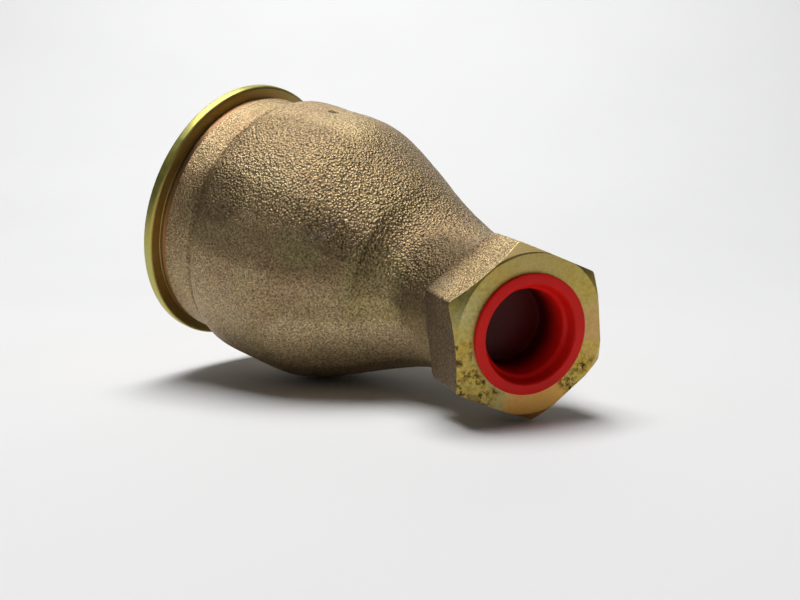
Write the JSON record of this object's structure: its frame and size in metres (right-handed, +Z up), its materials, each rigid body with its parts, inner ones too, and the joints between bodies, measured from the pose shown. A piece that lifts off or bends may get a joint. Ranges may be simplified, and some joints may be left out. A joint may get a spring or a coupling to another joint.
{
  "type": "basket strainer",
  "caption": "Bronze in-line basket strainer with a round turned flange, a bellied body, a bent stem to a hexagonal tapped outlet, and red thread protectors.",
  "frame": {"origin": "centre of the bounding box's bottom face, on the surface that the strainer lies on", "axes": "+Z up; +X along the horizontal run of the flange axis, from the flange towards the outlet; the outlet bends towards -Y"},
  "size_m": [0.1238, 0.074, 0.0801],
  "materials": {
    "cast_bronze": "sand-cast bronze, matt and slightly rough",
    "turned_brass": "turned, tarnished yellow-green",
    "red_plastic": "moulded, semi-gloss",
    "black_rubber": "matt",
    "fibre": "pressed fibre, matt",
    "stainless": "brushed"
  },
  "bodies": {
    "housing": {"strainer_body": "cast_bronze", "seat_gasket": "fibre", "flange_o_ring": "black_rubber"},
    "outlet_plug": {"outlet_plug": "red_plastic"},
    "basket": {"basket_wall": "stainless", "basket_base": "stainless", "basket_rim": "stainless", "foot_hoop": "stainless", "basket_seam": "stainless", "mesh_sleeve": "stainless", "mesh_disc": "stainless", "mesh_hoops": "stainless", "bail_ears": "stainless"},
    "bail": {"bail": "stainless"},
    "slip_washer": {"slip_washer": "fibre"},
    "cap": {"cap": "turned_brass", "cap_o_ring": "black_rubber"},
    "inlet_plug": {"inlet_plug": "red_plastic"}
  },
  "joints": [
    {"name": "outlet_plug_pull", "type": "slide", "parent": "housing", "child": "outlet_plug", "axis": [0.8399, -0.5297, -0.1181], "range_m": [0, 0.025]},
    {"name": "basket_lift", "type": "slide", "parent": "housing", "child": "basket", "axis": [-0.9627, 0, 0.2706], "range_m": [0, 0.055]},
    {"name": "bail_swing", "type": "hinge", "parent": "basket", "child": "bail", "pos_m": [-0.03502, 0.00028, 0.04027], "axis": [0.0567, -0.9778, 0.2018], "range_deg": [-25, 175]},
    {"name": "cap_travel", "type": "slide", "parent": "basket", "child": "slip_washer", "axis": [-0.9627, 0, 0.2706], "range_m": [0, 0.008]},
    {"name": "cap_turn", "type": "hinge", "parent": "slip_washer", "child": "cap", "pos_m": [-0.05215, 0.00028, 0.04509], "axis": [-0.9627, 0, 0.2706], "range_deg": [0, 1440]},
    {"name": "inlet_plug_pull", "type": "slide", "parent": "cap", "child": "inlet_plug", "axis": [-0.9627, 0, 0.2706], "range_m": [0, 0.025]}
  ],
  "couplings": [
    {"joint": "cap_turn", "follows": "cap_travel", "rad_per_m": 3141.6}
  ]
}
